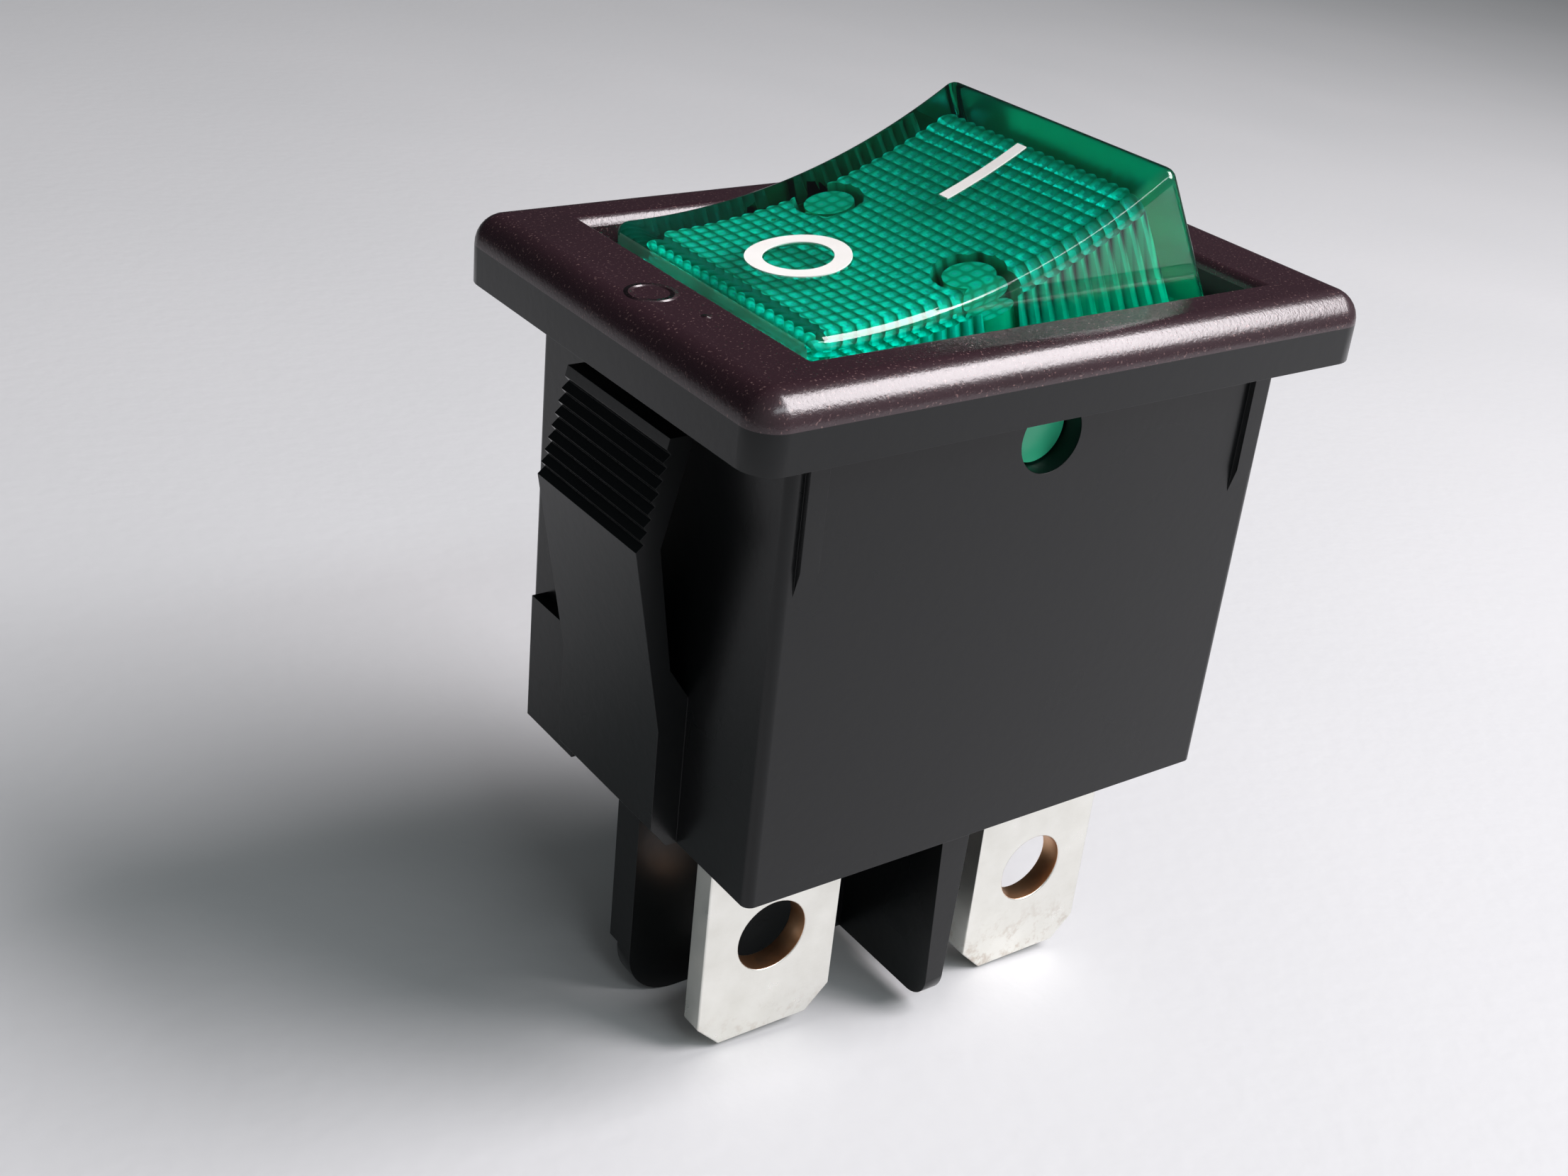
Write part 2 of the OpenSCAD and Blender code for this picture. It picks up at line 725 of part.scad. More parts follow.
module spring(s) {
    per = 14;
    n = per * turns;
    k = 6;
    pitch_a = atan((spring_z1 - spring_z0) / turns / (2 * PI * coil_r));
    pts = [for (i = [0 : n]) for (j = [0 : k - 1])
        let (a = 360 * i / per, b = 360 * j / k,
            u = wire_r * cos(b), v = wire_r * sin(b))
        [(coil_r + u) * cos(a) + v * sin(pitch_a) * sin(a),
         (coil_r + u) * sin(a) - v * sin(pitch_a) * cos(a),
         coil_z(i, n) + v * cos(pitch_a)]];
    faces = concat(
        [[for (j = [0 : k - 1]) j]],
        [for (i = [0 : n - 1]) for (j = [0 : k - 1])
            [i * k + j, (i + 1) * k + j, (i + 1) * k + (j + 1) % k, i * k + (j + 1) % k]],
        [[for (j = [k - 1 : -1 : 0]) n * k + j]]);
    color(STEEL) from_rocker() translate([0, s * post_y, 0]) polyhedron(pts, faces, convexity = 8);
}

// ---- lamp, leads and resistor ----

module along_x(x, y, z) {
    translate([x, y, z]) rotate([0, 90, 0]) children();
}

module lamp_glass() {
    x1 = lamp_l / 2 - lamp_r;
    color([0.9, 0.9, 0.88, 0.4]) from_rocker() difference() {
        union() {
            along_x(lamp_x0 + seal_l - seal_in, 0, lamp_z)
                cylinder(r = lamp_r, h = x1 - lamp_x0 - seal_l + seal_in);
            along_x(lamp_x0, 0, lamp_z) cylinder(r = lamp_r - seal_in, h = seal_l + e);
            translate([x1, 0, lamp_z]) sphere(lamp_r);
        }
        along_x(lamp_x0 + seal_l, 0, lamp_z) cylinder(r = lamp_r - glass_t, h = x1 - lamp_x0 - seal_l);
        translate([x1, 0, lamp_z]) sphere(lamp_r - glass_t);
        for (y = [-rod_y, rod_y]) {
            along_x(lamp_x0 - 1, y, lamp_z) cylinder(r = lead_r, h = seal_l + 2);
        }
    }
}

module electrode(s) {
    color(STEEL) from_rocker()
        along_x(lamp_x0 + seal_l, s * rod_y, lamp_z) cylinder(r = rod_r, h = lamp_l * 0.55);
}

// lead wire out of the seal, across, and up beside the post
module lead_bend(s) {
    along_x(lead_x, s * rod_y, lamp_z) cylinder(r = lead_r, h = lamp_x0 + seal_l - lead_x);
    translate([lead_x, s * rod_y, lamp_z]) sphere(lead_r);
    translate([lead_x, s * rod_y, lamp_z]) rotate([-90 * s, 0, 0]) cylinder(r = lead_r, h = post_y - rod_y);
    translate([lead_x, s * post_y, lamp_z]) sphere(lead_r);
    translate([lead_x, s * post_y, lamp_z]) cylinder(r = lead_r, h = lead_z - lamp_z);
    translate([lead_x, s * post_y, lead_z]) sphere(lead_r);
}

module front_lead() {
    color(COPPER) from_rocker() {
        lead_bend(-1);
        along_x(lead_x, -post_y, lead_z) cylinder(r = lead_r, h = lead_past - lead_x);
    }
}

module rear_lead() {
    color(COPPER) from_rocker() {
        lead_bend(1);
        along_x(lead_x, post_y, lead_z) cylinder(r = lead_r, h = res_x - lead_x);
    }
}

module resistor() {
    color(BEIGE) from_rocker() along_x(res_x, post_y, lead_z) {
        cylinder(r = res_r, h = res_l);
        cylinder(r = res_r + cap_up, h = cap_l);
        translate([0, 0, res_l - cap_l]) cylinder(r = res_r + cap_up, h = cap_l);
    }
}

module resistor_lead() {
    color(COPPER) from_rocker()
        along_x(res_x + res_l, post_y, lead_z) cylinder(r = lead_r, h = lead_past - res_x - res_l);
}

housing();
rocker();
off_mark();
on_mark();
line_terminal(-1);  // front_line_terminal
load_terminal_cut(-1);  // front_load_terminal
line_terminal(1);  // rear_line_terminal
load_terminal_cut(1);  // rear_load_terminal
contact_bar(-1);  // front_contact_bar
contact_bar(1);  // rear_contact_bar
moving_contact(-1);  // front_moving_contact
moving_contact(1);  // rear_moving_contact
fixed_contact(-1);  // front_fixed_contact
fixed_contact(1);  // rear_fixed_contact
plunger(-1);  // front_plunger
plunger(1);  // rear_plunger
spring(-1);  // front_spring
spring(1);  // rear_spring
lamp_glass();
electrode(-1);  // front_electrode
electrode(1);  // rear_electrode
front_lead();
rear_lead();
resistor();
resistor_lead();
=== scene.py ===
import json
import math

import bmesh
import bpy
from mathutils import Matrix, Vector


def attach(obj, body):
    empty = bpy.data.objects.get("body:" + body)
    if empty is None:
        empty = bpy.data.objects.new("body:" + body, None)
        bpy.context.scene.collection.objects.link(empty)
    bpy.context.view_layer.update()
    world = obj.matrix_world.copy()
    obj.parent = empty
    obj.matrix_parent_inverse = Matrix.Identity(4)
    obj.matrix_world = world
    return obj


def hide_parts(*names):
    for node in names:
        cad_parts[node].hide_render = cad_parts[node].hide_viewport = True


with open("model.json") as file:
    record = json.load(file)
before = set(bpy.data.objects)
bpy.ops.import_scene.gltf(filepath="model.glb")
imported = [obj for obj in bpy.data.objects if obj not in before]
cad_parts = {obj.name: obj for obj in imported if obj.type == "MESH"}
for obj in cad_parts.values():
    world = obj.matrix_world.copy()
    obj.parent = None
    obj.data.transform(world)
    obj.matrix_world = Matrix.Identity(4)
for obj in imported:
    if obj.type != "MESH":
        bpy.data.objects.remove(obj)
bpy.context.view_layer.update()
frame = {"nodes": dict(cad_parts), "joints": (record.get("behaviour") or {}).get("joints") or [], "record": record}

MM = 0.001
joints = {joint["name"]: joint for joint in frame["joints"]}
mounts = {mount["name"]: mount for mount in frame["record"]["mounts"]}

# ---- sizes of the pieces made here, in millimetres, as in the CAD ----

# the rocker is drawn level with its pivot at the origin, then tilted to its rest
ROCKER_LENGTH = 12.113
ROCKER_TOP = 5.18
ROCKER_DISH = 0.91
ROCKER_WIDTH = 9.8
ROCKER_BASE = 10.1
END_SLOPE = math.radians(12)
EDGE_RADIUS = 0.35
END_WALL = 1.1
SHELL = 0.95
POST_Y = 3.2
POST_RADIUS = 1.05
POST_DOWN = 2.2
BORE_RADIUS = 0.75
BORE_TOP = 3.0
LUG_RADIUS = 1.7
STUB_RADIUS = 0.99
STUB_SPAN = 11.2
LEAD_HEIGHT = 2.7
LEAD_RADIUS = 0.15
MARK_X = 3.2
MARK_DEPTH = 0.2
RING_RADIUS = 1.45
RING_LINE = 0.48
BAR_LENGTH = 2.9
BAR_WIDTH = 0.38

# fine forms that only this script adds
PRISM_PITCH = 0.44
PRISM_DEPTH = 0.2
FLUTE_DEPTH = 0.12
STEPS_A_CELL = 4
EDGE_ROUNDING = 0.07

# room round the marks and the lamp's leads, and how far a cutter reaches past a face
MARK_GAP = 0.004
LEAD_GAP = 0.01
LEAD_RUN = 0.25
CUT_PAST = 1.0
CUT_ABOVE_MARK = 0.6

# heights where the bezel's grain begins and between which the blades' tips are worn
GRAIN_FROM = 1.12
WEAR_BELOW = -21.6
WEAR_ABOVE = -19.6

# the punched brass shows on the faces this near round a blade's hole
HOLE_MARGIN = 0.02

# the ejector pin's marks on the bezel: centre, radius and half the width of the line
PIN_MARKS = (((-9.1, -0.3, 2.0), 0.6, 0.12), ((-8.68, -2.27, 2.0), 0.0, 0.16))
PIN_MARK_DEPTH = 0.12

# how each face of the rocker was moulded, kept in the attribute moulded_core
POLISHED = 0.0
MATT_END = 0.2
STUB_OR_BORE = 0.5
BORE_END = 0.85
PRISMS = 1.0
CORE_WALL = 2.0

TILT = math.radians(joints["rocker_tilt"]["range_deg"][1] / 2)
PIVOT = Vector(joints["rocker_tilt"]["pos_m"])
TO_ROCKER = Matrix.Translation(PIVOT) @ Matrix.Rotation(-TILT, 4, "Y") @ Matrix.Scale(MM, 4)

HALF_TOP = ROCKER_LENGTH / 2
HALF_BASE = HALF_TOP + ROCKER_TOP * math.tan(END_SLOPE)
ROCKER_MID = ROCKER_TOP - ROCKER_DISH
ARC_RADIUS = (HALF_TOP ** 2 + ROCKER_DISH ** 2) / (2 * ROCKER_DISH)
ARC_CENTRE = ROCKER_MID + ARC_RADIUS


def half_width(z):
    """Half the rocker's width at a height above its pivot."""
    return ROCKER_BASE / 2 + (ROCKER_WIDTH - ROCKER_BASE) / 2 * z / ROCKER_MID


def top_height(x, inset=0.0):
    """Height of the rocker's dished top, or of the surface so far under it."""
    return ARC_CENTRE - math.sqrt((ARC_RADIUS + inset) ** 2 - x * x)


def end_x(z, inset=0.0):
    """Where the sloping end face is at a height, or the surface so far inside it."""
    return HALF_BASE - inset / math.cos(END_SLOPE) - z * math.tan(END_SLOPE)


def meet_x(under_top, inside_end):
    """Where a surface under the top meets one inside the end face."""
    x = HALF_TOP
    for _ in range(12):
        x = end_x(top_height(x, under_top), inside_end)
    return x


# the prisms fill the hollow's top in whole rows and columns, with an edge between two at its middle
HOLLOW_LENGTH = 2 * meet_x(SHELL, END_WALL)
HOLLOW_WIDTH = 2 * (half_width(ROCKER_MID) - SHELL)
COLUMNS = 2 * round(HOLLOW_LENGTH / PRISM_PITCH / 2)
ROWS = 2 * round(HOLLOW_WIDTH / PRISM_PITCH / 2)


# ---- materials ----

def srgb(hex_colour):
    """The linear colour of an sRGB hex value."""
    values = [int(hex_colour[i:i + 2], 16) / 255 for i in (1, 3, 5)]
    return [v / 12.92 if v <= 0.04045 else ((v + 0.055) / 1.055) ** 2.4 for v in values] + [1.0]


def add(tree, kind, inputs=None, **settings):
    """Adds a node with its settings. inputs maps a socket's name or number to a value, to another
    node's socket, or to another node, which means its first output in use."""
    node = tree.nodes.new(kind)
    for name, value in settings.items():
        setattr(node, name, value)
    for name, value in (inputs or {}).items():
        if isinstance(name, int):
            socket = node.inputs[name]
        else:
            socket = next(s for s in node.inputs if s.enabled and s.name == name)
        if isinstance(value, bpy.types.Node):
            value = next(s for s in value.outputs if s.enabled)
        if isinstance(value, bpy.types.NodeSocket):
            tree.links.new(value, socket)
        else:
            socket.default_value = value
    return node


def new_material(name):
    """An empty node material, its tree, and the object coordinates in millimetres. A noise on
    them with a scale of 1 / 5 has lumps about 5 mm wide."""
    material = bpy.data.materials.new(name)
    material.use_nodes = True
    tree = material.node_tree
    tree.nodes.clear()
    place = add(tree, "ShaderNodeTexCoord").outputs["Object"]
    in_mm = add(tree, "ShaderNodeVectorMath", {0: place, 1: (1 / MM,) * 3}, operation="MULTIPLY")
    return material, tree, in_mm


def smooth_nylon():
    """Black nylon from a polished mould, on the body: a satin skin with faint flow marks."""
    material, tree, place = new_material("smooth_black_nylon")
    flow = add(tree, "ShaderNodeTexNoise", {"Vector": place, "Scale": 1 / 5, "Detail": 3.0})
    colour = add(tree, "ShaderNodeMix", {
        "Factor": flow, "A": srgb("#060809"), "B": srgb("#0B0D0E")}, data_type="RGBA")
    satin = add(tree, "ShaderNodeMapRange", {"Value": flow, "To Min": 0.24, "To Max": 0.33})
    skin = add(tree, "ShaderNodeTexNoise", {"Vector": place, "Scale": 1 / 0.35})
    relief = add(tree, "ShaderNodeBump", {"Height": skin, "Distance": 0.004 * MM})
    shader = add(tree, "ShaderNodeBsdfPrincipled", {
        "Base Color": colour, "Roughness": satin, "IOR": 1.38, "Normal": relief})
    add(tree, "ShaderNodeOutputMaterial", {"Surface": shader})
    return material


def grained_nylon():
    """The same nylon with the bezel's spark-eroded grain: a black whose lighter brownish tint is a
    painted sheen, with painted sparkles. An ejector pin left a shallow ring and a dot by the low end."""
    material, tree, place = new_material("grained_black_nylon")
    grain = add(tree, "ShaderNodeTexNoise", {"Vector": place, "Scale": 1 / 0.1, "Roughness": 0.6})
    relief = add(tree, "ShaderNodeBump", {"Height": grain, "Distance": 0.007 * MM})
    for centre, radius, line in PIN_MARKS:
        away = add(tree, "ShaderNodeVectorMath", {0: place, 1: centre}, operation="DISTANCE")
        from_line = add(tree, "ShaderNodeMath", {0: away, 1: radius}, operation="SUBTRACT")
        to_line = add(tree, "ShaderNodeMath", {0: from_line}, operation="ABSOLUTE")
        ridge = add(tree, "ShaderNodeMapRange", {
            "Value": to_line, "From Max": line, "To Min": 1.0, "To Max": 0.0})
        relief = add(tree, "ShaderNodeBump", {
            "Height": ridge, "Distance": PIN_MARK_DEPTH * MM, "Normal": relief})
    # a black with a lighter brownish tint, which is a painted sheen
    cloud = add(tree, "ShaderNodeTexNoise", {"Vector": place, "Scale": 1 / 4, "Detail": 3.0})
    colour = add(tree, "ShaderNodeMix", {
        "Factor": cloud, "A": srgb("#25151A"), "B": srgb("#321E25")}, data_type="RGBA")
    # painted sparkle: pale specks in the colour stand in for glints off the grain
    specks = add(tree, "ShaderNodeTexNoise", {"Vector": place, "Scale": 1 / 0.08, "Detail": 1.0})
    painted_sparkle = add(tree, "ShaderNodeMapRange", {"Value": specks, "From Min": 0.64, "From Max": 0.76})
    colour = add(tree, "ShaderNodeMix", {
        "Factor": painted_sparkle, "A": colour, "B": srgb("#66504F")}, data_type="RGBA")
    satin = add(tree, "ShaderNodeMapRange", {"Value": grain, "To Min": 0.22, "To Max": 0.30})
    shader = add(tree, "ShaderNodeBsdfPrincipled", {
        "Base Color": colour, "Roughness": satin, "IOR": 1.58, "Normal": relief})
    add(tree, "ShaderNodeOutputMaterial", {"Surface": shader})
    return material


def green_acrylic():
    """Clear green acrylic. Outside it is polished and one sees into it. The faces that the core
    moulded are frosted, with painted light and shade on them: a painted highlight dot and glint on
    each prism, a painted light line on each flute's ridge with painted shade in its gaps. Painted
    shade darkens the top towards the raised end; painted light brightens the walls towards the low end."""
    material, tree, place = new_material("clear_green_acrylic")
    moulded = add(tree, "ShaderNodeAttribute", attribute_name="moulded_core").outputs["Fac"]

    # the waves rise once a prism or a flute, along and across the level rocker
    level = add(tree, "ShaderNodeMapping", {"Vector": place, "Location": tuple(-PIVOT / MM)})
    level = add(tree, "ShaderNodeMapping", {"Vector": level, "Rotation": (0.0, TILT, 0.0)})
    axes = add(tree, "ShaderNodeSeparateXYZ", {0: level}).outputs
    waves = []
    for axis, pitch in (("X", HOLLOW_LENGTH / COLUMNS), ("Y", HOLLOW_WIDTH / ROWS)):
        turns = add(tree, "ShaderNodeMath", {0: axes[axis], 1: math.pi / pitch}, operation="MULTIPLY")
        wave = add(tree, "ShaderNodeMath", {0: turns}, operation="SINE")
        waves.append(add(tree, "ShaderNodeMath", {0: wave}, operation="ABSOLUTE"))
    cell = add(tree, "ShaderNodeMath", {0: waves[0], 1: waves[1]}, operation="MULTIPLY")
    flute = add(tree, "ShaderNodeMath", {0: waves[0], 1: waves[1]}, operation="MAXIMUM")

    # prisms: a painted highlight dot on each, darker painted shade between them
    cloud = add(tree, "ShaderNodeTexNoise", {"Vector": place, "Scale": 1 / 1.3})
    dark = add(tree, "ShaderNodeMix", {
        "Factor": cloud, "A": srgb("#129872"), "B": srgb("#18AE84")}, data_type="RGBA")
    bright = add(tree, "ShaderNodeMix", {
        "Factor": cloud, "A": srgb("#58FFD8"), "B": srgb("#80FFEC")}, data_type="RGBA")
    # painted glint: near white where the wave peaks in each cell
    painted_glint = add(tree, "ShaderNodeMapRange", {"Value": cell, "From Min": 0.8})
    bright = add(tree, "ShaderNodeMix", {
        "Factor": painted_glint, "A": bright, "B": srgb("#E8FFF8")}, data_type="RGBA")
    dot = add(tree, "ShaderNodeMapRange", {"Value": cell, "From Min": 0.1, "From Max": 0.55})
    ceiling = add(tree, "ShaderNodeMix", {"Factor": dot, "A": dark, "B": bright}, data_type="RGBA")
    # painted shade: the prisms turn darker towards the raised end
    raised_end_shade = add(tree, "ShaderNodeMapRange", {
        "Value": axes["X"], "From Min": -3.0, "From Max": 5.0, "To Max": 0.5})
    ceiling = add(tree, "ShaderNodeMix", {
        "Factor": raised_end_shade, "A": ceiling, "B": srgb("#0A7858")}, data_type="RGBA")

    # walls of the hollow: painted shade in the flutes' gaps, painted light on their ridges, and painted light that
    # brightens both towards the low end
    low_end_light = add(tree, "ShaderNodeMapRange", {
        "Value": axes["X"], "From Min": -5.5, "From Max": 3.0, "To Min": 1.0, "To Max": 0.0})
    gap_shade = add(tree, "ShaderNodeMix", {
        "Factor": low_end_light, "A": srgb("#032A22"), "B": srgb("#22C898")}, data_type="RGBA")
    ridge_light = add(tree, "ShaderNodeMix", {
        "Factor": low_end_light, "A": srgb("#18D0A0"), "B": srgb("#B8FFEC")}, data_type="RGBA")
    line = add(tree, "ShaderNodeMapRange", {"Value": flute, "From Min": 0.35, "From Max": 0.95})
    walls = add(tree, "ShaderNodeMix", {"Factor": line, "A": gap_shade, "B": ridge_light}, data_type="RGBA")

    # each face takes its colour from how it was moulded
    is_wall = add(tree, "ShaderNodeMapRange", {
        "Value": moulded, "From Min": PRISMS, "From Max": CORE_WALL})
    colour = add(tree, "ShaderNodeMix", {"Factor": is_wall, "A": ceiling, "B": walls}, data_type="RGBA")
    is_core = add(tree, "ShaderNodeMapRange", {
        "Value": moulded, "From Min": STUB_OR_BORE, "From Max": PRISMS})
    # stubs and bores take a paler green: painted light that lifts their shade
    colour = add(tree, "ShaderNodeMix", {
        "Factor": is_core, "A": srgb("#40D8A4"), "B": colour}, data_type="RGBA")
    frosted = add(tree, "ShaderNodeMapRange", {
        "Value": moulded, "From Min": POLISHED, "From Max": STUB_OR_BORE})
    colour = add(tree, "ShaderNodeMix", {
        "Factor": frosted, "A": srgb("#F4FFFA"), "B": colour}, data_type="RGBA")
    polish = add(tree, "ShaderNodeMapRange", {"Value": frosted, "To Min": 0.03, "To Max": 0.33})
    clear = add(tree, "ShaderNodeMapRange", {"Value": frosted, "To Min": 1.0, "To Max": 0.08})
    ripple = add(tree, "ShaderNodeTexNoise", {"Vector": place, "Scale": 1 / 2.5, "Detail": 1.0})
    relief = add(tree, "ShaderNodeBump", {"Height": ripple, "Distance": 0.004 * MM})
    shader = add(tree, "ShaderNodeBsdfPrincipled", {
        "Base Color": colour, "Roughness": polish, "IOR": 1.49, "Transmission Weight": clear,
        "Normal": relief})

    # the dye drinks nearly all red light within a millimetre
    dye = add(tree, "ShaderNodeVolumeAbsorption", {"Color": (0.0, 0.985, 0.976, 1.0), "Density": 2800.0})
    add(tree, "ShaderNodeOutputMaterial", {"Surface": shader, "Volume": dye})
    return material


def white_acetal():
    """White acetal marks moulded into the rocker: matt, with a faint mottle."""
    material, tree, place = new_material("moulded_white_acetal")
    mottle = add(tree, "ShaderNodeTexNoise", {"Vector": place, "Scale": 1 / 0.8})
    colour = add(tree, "ShaderNodeMix", {
        "Factor": mottle, "A": srgb("#F1F0EC"), "B": srgb("#E6E5E0")}, data_type="RGBA")
    skin = add(tree, "ShaderNodeTexNoise", {"Vector": place, "Scale": 1 / 0.12})
    relief = add(tree, "ShaderNodeBump", {"Height": skin, "Distance": 0.004 * MM})
    shader = add(tree, "ShaderNodeBsdfPrincipled", {
        "Base Color": colour, "Roughness": 0.38, "Normal": relief})
    add(tree, "ShaderNodeOutputMaterial", {"Surface": shader})
    return material


def tin_plate():
    """Matt tin plated on rolled brass: a soft grey-white metal with long rolling lines, small
    scuffs and, towards the tips, brownish rubs where the plate is worn."""
    material, tree, place = new_material("tin_plated_brass")
    stretched = add(tree, "ShaderNodeVectorMath", {0: place, 1: (0.25, 1.0, 4.0)}, operation="MULTIPLY")
    lines = add(tree, "ShaderNodeTexNoise", {
        "Vector": stretched, "Scale": 1 / 0.3, "Detail": 3.0, "Roughness": 0.6})
    cloud = add(tree, "ShaderNodeTexNoise", {
        "Vector": place, "Scale": 1 / 1.2, "Detail": 4.0, "Roughness": 0.6})
    scuffs = add(tree, "ShaderNodeTexNoise", {
        "Vector": place, "Scale": 1 / 0.45, "Detail": 5.0, "Roughness": 0.7})
    axes = add(tree, "ShaderNodeSeparateXYZ", {0: place}).outputs
    near_tip = add(tree, "ShaderNodeMapRange", {
        "Value": axes["Z"], "From Min": WEAR_BELOW, "From Max": WEAR_ABOVE, "To Min": 1.0, "To Max": 0.0})
    patches = add(tree, "ShaderNodeMapRange", {"Value": scuffs, "From Min": 0.5, "From Max": 0.66})
    worn = add(tree, "ShaderNodeMath", {0: near_tip, 1: patches}, operation="MULTIPLY")
    uneven = add(tree, "ShaderNodeMapRange", {"Value": cloud, "To Min": 0.2, "To Max": 0.7})
    brown = add(tree, "ShaderNodeMath", {0: worn, 1: uneven}, operation="MULTIPLY")
    colour = add(tree, "ShaderNodeMix", {
        "Factor": cloud, "A": srgb("#EFEFE9"), "B": srgb("#DFDED6")}, data_type="RGBA")
    colour = add(tree, "ShaderNodeMix", {
        "Factor": brown, "A": colour, "B": srgb("#A89078")}, data_type="RGBA")
    satin = add(tree, "ShaderNodeMapRange", {
        "Value": cloud, "From Min": 0.3, "From Max": 0.7, "To Min": 0.26, "To Max": 0.42})
    relief = add(tree, "ShaderNodeBump", {"Height": worn, "Distance": 0.006 * MM})
    relief = add(tree, "ShaderNodeBump", {"Height": cloud, "Distance": 0.01 * MM, "Normal": relief})
    relief = add(tree, "ShaderNodeBump", {"Height": lines, "Distance": 0.004 * MM, "Normal": relief})
    shader = add(tree, "ShaderNodeBsdfPrincipled", {
        "Base Color": colour, "Metallic": 1.0, "Roughness": satin, "Normal": relief})
    add(tree, "ShaderNodeOutputMaterial", {"Surface": shader})
    return material


def bare_metal(name, light, dark, rough):
    """A worked metal without plating: its colour and sheen drift a little over half a millimetre."""
    material, tree, place = new_material(name)
    cloud = add(tree, "ShaderNodeTexNoise", {"Vector": place, "Scale": 1 / 0.5, "Detail": 3.0})
    colour = add(tree, "ShaderNodeMix", {
        "Factor": cloud, "A": srgb(light), "B": srgb(dark)}, data_type="RGBA")
    sheen = add(tree, "ShaderNodeMapRange", {
        "Value": cloud, "To Min": rough - 0.05, "To Max": rough + 0.08})
    skin = add(tree, "ShaderNodeTexNoise", {"Vector": place, "Scale": 1 / 0.15})
    relief = add(tree, "ShaderNodeBump", {"Height": skin, "Distance": 0.004 * MM})
    shader = add(tree, "ShaderNodeBsdfPrincipled", {
        "Base Color": colour, "Metallic": 1.0, "Roughness": sheen, "Normal": relief})
    add(tree, "ShaderNodeOutputMaterial", {"Surface": shader})
    return material


def soda_glass():
    """Drawn soda glass of the neon lamp: clear, with faint waves from the drawing."""
    material, tree, place = new_material("drawn_soda_glass")
    wave = add(tree, "ShaderNodeTexNoise", {"Vector": place, "Scale": 1 / 1.5})
    relief = add(tree, "ShaderNodeBump", {"Height": wave, "Distance": 0.01 * MM})
    shader = add(tree, "ShaderNodeBsdfPrincipled", {
        "Base Color": srgb("#F4F6F2"), "Roughness": 0.02, "IOR": 1.52, "Transmission Weight": 1.0,
        "Normal": relief})
    add(tree, "ShaderNodeOutputMaterial", {"Surface": shader})
    return material


def lacquered_ceramic():
    """Lacquered ceramic of the resistor: sand-coloured, slightly glossy, a little lumpy."""
    material, tree, place = new_material("lacquered_ceramic")
    cloud = add(tree, "ShaderNodeTexNoise", {"Vector": place, "Scale": 1 / 0.6})
    colour = add(tree, "ShaderNodeMix", {
        "Factor": cloud, "A": srgb("#CDB78C"), "B": srgb("#B59E74")}, data_type="RGBA")
    relief = add(tree, "ShaderNodeBump", {"Height": cloud, "Distance": 0.02 * MM})
    shader = add(tree, "ShaderNodeBsdfPrincipled", {
        "Base Color": colour, "Roughness": 0.35, "Normal": relief})
    add(tree, "ShaderNodeOutputMaterial", {"Surface": shader})
    return material


def painted_board():
    """Matt painted board under the switch: a pale neutral grey with a slight tooth."""
    material, tree, place = new_material("painted_board")
    cloud = add(tree, "ShaderNodeTexNoise", {"Vector": place, "Scale": 1 / 30})
    colour = add(tree, "ShaderNodeMix", {
        "Factor": cloud, "A": srgb("#C0C3C4"), "B": srgb("#C8CACB")}, data_type="RGBA")
    tooth = add(tree, "ShaderNodeTexNoise", {"Vector": place, "Scale": 1 / 0.8})
    relief = add(tree, "ShaderNodeBump", {"Height": tooth, "Distance": 0.02 * MM})
    shader = add(tree, "ShaderNodeBsdfPrincipled", {
        "Base Color": colour, "Roughness": 0.6, "Normal": relief})
    add(tree, "ShaderNodeOutputMaterial", {"Surface": shader})
    return material


body_black = smooth_nylon()
bezel_black = grained_nylon()
rocker_green = green_acrylic()
mark_white = white_acetal()
tin = tin_plate()
glass = soda_glass()
lacquer = lacquered_ceramic()

# the brass that shows warm where a blade's hole was punched through its plate
brass_edge = bare_metal("sheared_brass", "#E8BE98", "#C89468", 0.35)
# reddish strip with a soft rolled sheen
copper = bare_metal("rolled_copper", "#C98663", "#B0714F", 0.3)
# near-white rivet heads, the smoothest of the metals
silver = bare_metal("coined_silver", "#E4E2DC", "#CFCCC4", 0.25)
# cool grey pins and wire
steel = bare_metal("drawn_steel", "#B9BBBD", "#9A9C9F", 0.3)
# thin wire with a pale copper skin
wire = bare_metal("copper_clad_wire", "#C9A184", "#A8805F", 0.3)


# ---- meshes ----

def new_piece(name, bm, materials):
    """A piece made of a mesh, in the frame, with its materials."""
    mesh = bpy.data.meshes.new(name)
    bm.to_mesh(mesh)
    bm.free()
    for material in materials:
        mesh.materials.append(material)
    piece = bpy.data.objects.new(name, mesh)
    bpy.context.scene.collection.objects.link(piece)
    return piece


def applied(piece):
    """Turns a piece's modifiers into plain mesh."""
    graph = bpy.context.evaluated_depsgraph_get()
    mesh = bpy.data.meshes.new_from_object(piece.evaluated_get(graph))
    piece.modifiers.clear()
    old, piece.data = piece.data, mesh
    bpy.data.meshes.remove(old)
    return piece


def combine(piece, tool, operation):
    """Joins a tool to a piece or cuts it out, and removes the tool."""
    step = piece.modifiers.new("step", "BOOLEAN")
    step.operation, step.object, step.solver = operation, tool, "EXACT"
    applied(piece)
    bpy.data.objects.remove(tool)


def shaded(piece, degrees):
    """Smooth shading that keeps edges past an angle sharp and flat faces flat."""
    piece.data.polygons.foreach_set("use_smooth", [True] * len(piece.data.polygons))
    piece.data.set_sharp_from_angle(angle=math.radians(degrees))
    flat = piece.modifiers.new("normals", "WEIGHTED_NORMAL")
    flat.keep_sharp = True
    flat.mode, flat.weight = "FACE_AREA", 100
    return applied(piece)


